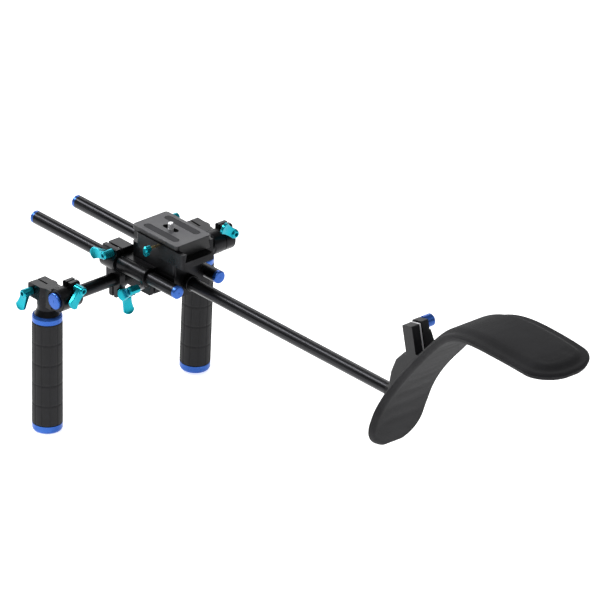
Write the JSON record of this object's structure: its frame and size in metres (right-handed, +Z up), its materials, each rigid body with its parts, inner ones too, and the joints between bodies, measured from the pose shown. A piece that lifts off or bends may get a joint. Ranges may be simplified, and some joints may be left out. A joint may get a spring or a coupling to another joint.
{
  "type": "shoulder-mounted camera rig",
  "caption": "Shoulder rig with front rods, quick-release camera plate, cross rod with adjustable hand grips and a curved shoulder pad on a rear rod.",
  "frame": {"origin": "foot of the camera screw, on the quick-release plate's top face", "axes": "+Z up along the camera screw, +Y forward to the lens side, along the rods, +X to the operator's right"},
  "size_m": [0.2736, 0.893, 0.3458],
  "materials": {
    "black_aluminium": "satin black anodised aluminium, fine bead blast",
    "cyan_aluminium": "cyan anodised cast aluminium lever, satin",
    "blue_aluminium": "blue anodised turned aluminium, satin",
    "steel": "machined steel",
    "brass": "turned brass",
    "grip_rubber": "moulded black rubber with tiled ribs",
    "plate_top": "dark grey anodised, bead blasted",
    "plate_rubber": "ribbed rubber strip",
    "pad_fabric": "black neoprene-faced foam, knitted face",
    "pad_shell": "black fabric over a stiff board",
    "black_plastic": "moulded black nylon, fine texture"
  },
  "bodies": {
    "block": {"rod_block": "black_aluminium", "qr_receiver": "black_aluminium", "receiver_screws": "steel", "shoulder_set_screw": "steel"},
    "plate": {"camera_plate": "plate_top", "plate_strips": "plate_rubber"},
    "screw_slide": {"screw_washer": "black_plastic"},
    "camera_screw": {"camera_screw": "steel"},
    "lock_wing": {"lock_stud": "brass", "lock_wing": "cyan_aluminium"},
    "safety_knob": {"safety_knob": "cyan_aluminium"},
    "cross_rod": {"cross_rod": "black_aluminium", "cross_rod_caps": "blue_aluminium"},
    "shoulder_rod": {"shoulder_rod": "black_aluminium", "shoulder_rod_cap": "blue_aluminium"},
    "pad_bracket": {"pad_bracket": "black_plastic"},
    "pad": {"pad_cushion": "pad_fabric", "pad_board": "pad_shell", "pad_mount": "black_plastic", "pad_hinge_plate": "steel"},
    "pad_knob": {"pad_knob": "blue_aluminium"},
    "rod_left": {"front_rod_left": "black_aluminium", "front_rod_caps_left": "blue_aluminium"},
    "block_lever_left": {"block_left_lever": "cyan_aluminium", "block_left_stud": "steel"},
    "clamp_left": {"clamp_left": "black_aluminium"},
    "clamp_rod_lever_left": {"clamp_left_rod_lever": "cyan_aluminium", "clamp_left_rod_stud": "steel"},
    "clamp_cross_lever_left": {"clamp_left_cross_lever": "cyan_aluminium", "clamp_left_cross_stud": "steel"},
    "drum_left": {"drum_left": "black_aluminium"},
    "drum_lever_left": {"drum_left_lever": "cyan_aluminium", "drum_left_stud": "steel"},
    "head_left": {"head_left": "black_aluminium"},
    "post_lever_left": {"post_left_lever": "cyan_aluminium", "post_left_stud": "steel"},
    "grip_left": {"grip_core_left": "black_aluminium", "grip_ring_left": "blue_aluminium", "grip_left": "grip_rubber", "grip_cap_left": "blue_aluminium"},
    "rod_right": {"front_rod_right": "black_aluminium", "front_rod_caps_right": "blue_aluminium"},
    "block_lever_right": {"block_right_lever": "cyan_aluminium", "block_right_stud": "steel"},
    "clamp_right": {"clamp_right": "black_aluminium"},
    "clamp_rod_lever_right": {"clamp_right_rod_lever": "cyan_aluminium", "clamp_right_rod_stud": "steel"},
    "clamp_cross_lever_right": {"clamp_right_cross_lever": "cyan_aluminium", "clamp_right_cross_stud": "steel"},
    "drum_right": {"drum_right": "black_aluminium"},
    "drum_lever_right": {"drum_right_lever": "cyan_aluminium", "drum_right_stud": "steel"},
    "head_right": {"head_right": "black_aluminium"},
    "post_lever_right": {"post_right_lever": "cyan_aluminium", "post_right_stud": "steel"},
    "grip_right": {"grip_core_right": "black_aluminium", "grip_ring_right": "blue_aluminium", "grip_right": "grip_rubber", "grip_cap_right": "blue_aluminium"}
  },
  "joints": [
    {"name": "plate_slide", "type": "slide", "parent": "block", "child": "plate", "axis": [0, 1, 0], "range_m": [-0.012, 0.012]},
    {"name": "screw_slide", "type": "slide", "parent": "plate", "child": "screw_slide", "axis": [0, 1, 0], "range_m": [-0.008, 0.008]},
    {"name": "camera_screw_turn", "type": "hinge", "parent": "screw_slide", "child": "camera_screw", "pos_m": [0, 0, 0], "axis": [0, 0, 1], "continuous": true},
    {"name": "lock_wing_turn", "type": "hinge", "parent": "block", "child": "lock_wing", "pos_m": [-0.0345, -0.005, -0.012], "axis": [1, 0, 0], "range_deg": [-60, 60]},
    {"name": "safety_knob_pull", "type": "slide", "parent": "block", "child": "safety_knob", "axis": [1, 0, 0], "range_m": [0, 0.003], "stiffness_N_per_m": 800},
    {"name": "block_left_lever_turn", "type": "hinge", "parent": "block", "child": "block_lever_left", "pos_m": [-0.0363, 0.013, -0.068], "axis": [1, 0, 0], "range_deg": [-60, 40]},
    {"name": "block_right_lever_turn", "type": "hinge", "parent": "block", "child": "block_lever_right", "pos_m": [0.0363, 0.013, -0.068], "axis": [1, 0, 0], "range_deg": [-60, 40]},
    {"name": "rod_left_slide", "type": "slide", "parent": "block", "child": "rod_left", "axis": [0, 1, 0], "range_m": [0, 0.03]},
    {"name": "rod_right_slide", "type": "slide", "parent": "block", "child": "rod_right", "axis": [0, 1, 0], "range_m": [0, 0.03]},
    {"name": "clamp_left_slide", "type": "slide", "parent": "rod_left", "child": "clamp_left", "axis": [0, 1, 0], "range_m": [0, 0.1]},
    {"name": "clamp_right_slide", "type": "slide", "parent": "rod_right", "child": "clamp_right", "axis": [0, 1, 0], "range_m": [0, 0.1]},
    {"name": "clamp_left_rod_lever_turn", "type": "hinge", "parent": "clamp_left", "child": "clamp_rod_lever_left", "pos_m": [-0.0373, 0.057, -0.0398], "axis": [1, 0, 0], "range_deg": [-60, 60]},
    {"name": "clamp_left_cross_lever_turn", "type": "hinge", "parent": "clamp_left", "child": "clamp_cross_lever_left", "pos_m": [-0.026, 0.0547, -0.092], "axis": [0, 1, 0], "range_deg": [-50, 50]},
    {"name": "clamp_right_rod_lever_turn", "type": "hinge", "parent": "clamp_right", "child": "clamp_rod_lever_right", "pos_m": [0.0373, 0.067, -0.0398], "axis": [1, 0, 0], "range_deg": [-60, 60]},
    {"name": "clamp_right_cross_lever_turn", "type": "hinge", "parent": "clamp_right", "child": "clamp_cross_lever_right", "pos_m": [0.026, 0.0693, -0.092], "axis": [0, 1, 0], "range_deg": [0, 90]},
    {"name": "cross_rod_slide", "type": "slide", "parent": "clamp_left", "child": "cross_rod", "axis": [1, 0, 0], "range_m": [-0.015, 0.015]},
    {"name": "drum_left_slide", "type": "slide", "parent": "cross_rod", "child": "drum_left", "axis": [1, 0, 0], "range_m": [0, 0.02]},
    {"name": "drum_left_lever_turn", "type": "hinge", "parent": "drum_left", "child": "drum_lever_left", "pos_m": [-0.0925, 0.0537, -0.0646], "axis": [0, 1, 0], "range_deg": [-40, 40]},
    {"name": "head_left_swing", "type": "hinge", "parent": "drum_left", "child": "head_left", "pos_m": [-0.108, 0.062, -0.077], "axis": [1, 0, 0], "range_deg": [-45, 60]},
    {"name": "grip_left_turn", "type": "hinge", "parent": "head_left", "child": "grip_left", "pos_m": [-0.108, 0.085, -0.1], "axis": [0, 0, 1], "continuous": true},
    {"name": "post_left_lever_turn", "type": "hinge", "parent": "head_left", "child": "post_lever_left", "pos_m": [-0.1203, 0.0972, -0.0758], "axis": [1, 0, 0], "range_deg": [-20, 100]},
    {"name": "drum_right_slide", "type": "slide", "parent": "cross_rod", "child": "drum_right", "axis": [1, 0, 0], "range_m": [-0.02, 0]},
    {"name": "drum_right_lever_turn", "type": "hinge", "parent": "drum_right", "child": "drum_lever_right", "pos_m": [0.1285, 0.0537, -0.0646], "axis": [0, 1, 0], "range_deg": [-40, 40]},
    {"name": "head_right_swing", "type": "hinge", "parent": "drum_right", "child": "head_right", "pos_m": [0.113, 0.062, -0.077], "axis": [1, 0, 0], "range_deg": [-45, 60]},
    {"name": "grip_right_turn", "type": "hinge", "parent": "head_right", "child": "grip_right", "pos_m": [0.113, 0.08617, -0.09877], "axis": [0, -0.0523, 0.9986], "continuous": true},
    {"name": "post_right_lever_turn", "type": "hinge", "parent": "head_right", "child": "post_lever_right", "pos_m": [0.1007, 0.09709, -0.07396], "axis": [1, 0, 0], "range_deg": [-20, 100]},
    {"name": "shoulder_rod_slide", "type": "slide", "parent": "block", "child": "shoulder_rod", "axis": [0, 1, 0], "range_m": [-0.02, 0.1]},
    {"name": "pad_bracket_roll", "type": "hinge", "parent": "shoulder_rod", "child": "pad_bracket", "pos_m": [0, -0.38, -0.0545], "axis": [0, 1, 0], "range_deg": [-20, 20]},
    {"name": "pad_tilt", "type": "hinge", "parent": "pad_bracket", "child": "pad", "pos_m": [0, -0.42235, 0.04151], "axis": [-1, 0, 0], "range_deg": [0, 20]},
    {"name": "pad_knob_turn", "type": "hinge", "parent": "pad", "child": "pad_knob", "pos_m": [0.0097, -0.42235, 0.04151], "axis": [1, 0, 0], "continuous": true}
  ],
  "couplings": [
    {"joint": "rod_right_slide", "follows": "rod_left_slide", "ratio": 1},
    {"joint": "clamp_right_slide", "follows": "clamp_left_slide", "ratio": 1}
  ]
}
